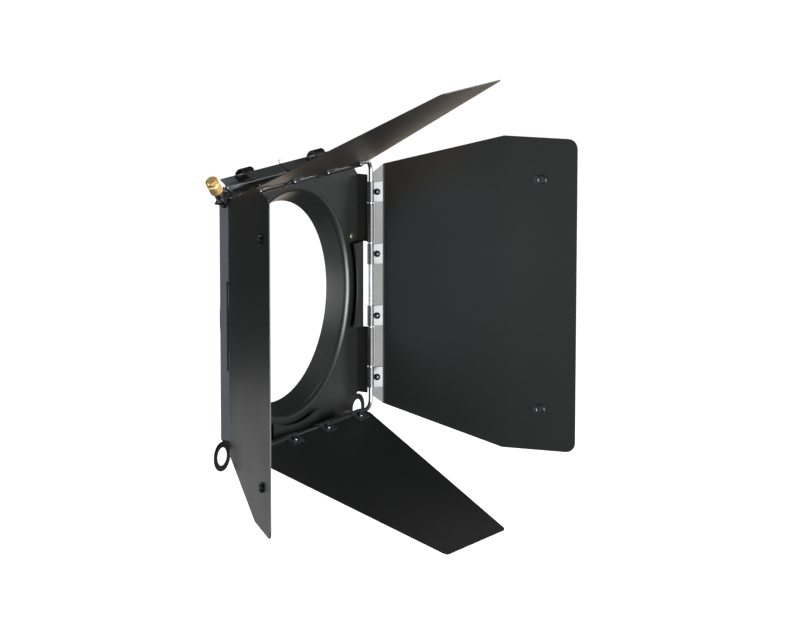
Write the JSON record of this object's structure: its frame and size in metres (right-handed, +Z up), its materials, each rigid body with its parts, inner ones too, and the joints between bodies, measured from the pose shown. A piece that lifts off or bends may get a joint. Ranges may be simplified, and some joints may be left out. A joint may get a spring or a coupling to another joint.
{
  "type": "barn door set",
  "caption": "Square barn door set for a round spotlight: a pressed frame with a round aperture, folding leaves on a wire hinge, a sprung gel flap and a pull plunger.",
  "frame": {"origin": "centre of the round aperture, in the flat rear face of the frame plate, which lies on the lamp's accessory holder", "axes": "-Y the way the light goes, +Y towards the lamp, +Z up when the gel flap is at the top, +X to the right for someone facing the front of the set"},
  "size_m": [0.4395, 0.2339, 0.4223],
  "materials": {
    "frame_paint": "satin black powder coat on pressed steel",
    "clamp_paint": "satin black",
    "leaf_paint": "matt heat-resistant black",
    "clip_paint": "satin black",
    "flap_paint": "satin dark grey",
    "wire_steel": "blackened drawn wire",
    "screw_steel": "black oxide",
    "spring_steel": "blued spring wire",
    "jaw_steel": "blued spring strip",
    "sleeve_black": "black oxide",
    "rivet_brass": "plain",
    "knob_brass": "knurled, satin"
  },
  "bodies": {
    "frame": {"frame_plate": "frame_paint", "hinge_wire": "wire_steel", "corner_bracket": "frame_paint", "flap_pin": "wire_steel", "plunger_body": "sleeve_black", "bracket_rivet_1": "screw_steel", "bracket_rivet_2": "screw_steel", "plate_rivet_left": "rivet_brass", "plate_rivet_right": "rivet_brass"},
    "flap": {"top_flap": "flap_paint", "flap_spring": "spring_steel", "flap_jaw_1": "jaw_steel", "flap_jaw_2": "jaw_steel"},
    "plunger": {"plunger_pin": "wire_steel", "plunger_knob": "knob_brass"},
    "right": {"right_leaf": "leaf_paint", "right_leaf_clamp_1": "clamp_paint", "right_leaf_screw_1": "screw_steel", "right_leaf_clamp_2": "clamp_paint", "right_leaf_screw_2": "screw_steel", "right_leaf_clamp_3": "clamp_paint", "right_leaf_screw_3": "screw_steel", "right_leaf_clamp_4": "clamp_paint", "right_leaf_screw_4": "screw_steel", "right_clip_upper": "clip_paint", "right_clip_lower": "clip_paint"},
    "left": {"left_leaf": "leaf_paint", "left_leaf_clamp_1": "clamp_paint", "left_leaf_screw_1": "screw_steel", "left_leaf_clamp_2": "clamp_paint", "left_leaf_screw_2": "screw_steel", "left_leaf_clamp_3": "clamp_paint", "left_leaf_screw_3": "screw_steel", "left_leaf_clamp_4": "clamp_paint", "left_leaf_screw_4": "screw_steel", "left_clip_upper": "clip_paint", "left_clip_lower": "clip_paint"},
    "top": {"top_leaf": "leaf_paint", "top_leaf_clamp_1": "clamp_paint", "top_leaf_screw_1": "screw_steel", "top_leaf_clamp_2": "clamp_paint", "top_leaf_screw_2": "screw_steel", "top_leaf_clamp_3": "clamp_paint", "top_leaf_screw_3": "screw_steel", "top_leaf_clamp_4": "clamp_paint", "top_leaf_screw_4": "screw_steel"},
    "bottom": {"bottom_leaf": "leaf_paint", "bottom_leaf_clamp_1": "clamp_paint", "bottom_leaf_screw_1": "screw_steel", "bottom_leaf_clamp_2": "clamp_paint", "bottom_leaf_screw_2": "screw_steel", "bottom_leaf_clamp_3": "clamp_paint", "bottom_leaf_screw_3": "screw_steel", "bottom_leaf_clamp_4": "clamp_paint", "bottom_leaf_screw_4": "screw_steel"}
  },
  "joints": [
    {"name": "right_leaf_hinge", "type": "hinge", "parent": "frame", "child": "right", "pos_m": [0.12, -0.017, 0], "axis": [0, 0, 1], "range_deg": [-61, 54]},
    {"name": "left_leaf_hinge", "type": "hinge", "parent": "frame", "child": "left", "pos_m": [-0.12, -0.017, 0], "axis": [0, 0, 1], "range_deg": [-11, 99]},
    {"name": "top_leaf_hinge", "type": "hinge", "parent": "frame", "child": "top", "pos_m": [0, -0.017, 0.12], "axis": [1, 0, 0], "range_deg": [-61, 115]},
    {"name": "bottom_leaf_hinge", "type": "hinge", "parent": "frame", "child": "bottom", "pos_m": [0, -0.017, -0.12], "axis": [1, 0, 0], "range_deg": [-113, 70]},
    {"name": "gel_flap_hinge", "type": "hinge", "parent": "frame", "child": "flap", "pos_m": [0, -0.0095, 0.1275], "axis": [1, 0, 0], "range_deg": [0, 60], "stiffness_Nm_per_rad": 0.03, "springref_deg": -20.05, "deforming": ["flap_spring"]},
    {"name": "plunger_slide", "type": "slide", "parent": "frame", "child": "plunger", "axis": [-0.6361, 0, 0.7716], "range_m": [0, 0.006], "stiffness_N_per_m": 600, "springref_m": -0.004}
  ]
}
